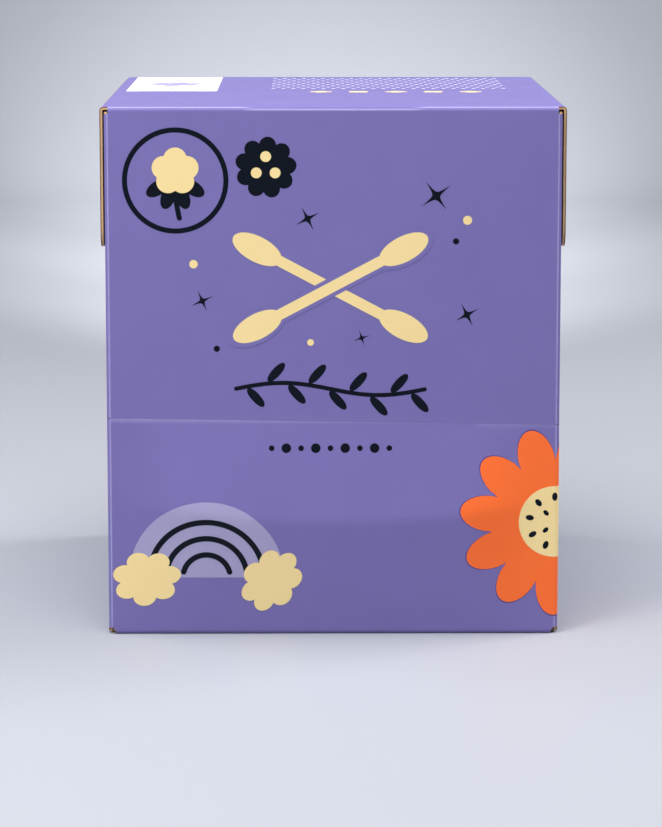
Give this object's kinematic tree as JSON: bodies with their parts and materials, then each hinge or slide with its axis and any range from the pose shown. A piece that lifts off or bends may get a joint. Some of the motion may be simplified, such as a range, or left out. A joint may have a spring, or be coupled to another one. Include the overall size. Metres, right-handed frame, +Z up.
{
  "type": "cotton swab box",
  "caption": "Square upright flip-top carton of folded board, torn open along its lid line, with an inner collar and stacked cotton swabs",
  "frame": {"origin": "Centre of the carton's footprint, on the surface it stands on", "axes": "+Z up, the front panel with the tear line faces -Y, +X to the right when looking at the front"},
  "size_m": [0.0816, 0.084, 0.094],
  "materials": {
    "printed_board": "Printed lilac-purple carton board with a satin varnish, kraft-brown on its inner side and cut edges",
    "plain_board": "Unprinted kraft-brown carton board",
    "rolled_paper": "Tightly rolled cream paper",
    "cotton": "Matt white wound cotton with a short fuzz"
  },
  "bodies": {
    "base": {"carton_base": "printed_board", "collar": "plain_board", "paper_stems": "rolled_paper", "cotton_tips": "cotton"},
    "lid": {"lid": "printed_board"}
  },
  "joints": [
    {"name": "lid_hinge", "type": "hinge", "parent": "base", "child": "lid", "pos_m": [0, 0.042, 0.068], "axis": [-1, 0, 0], "range_deg": [0, 110]}
  ]
}
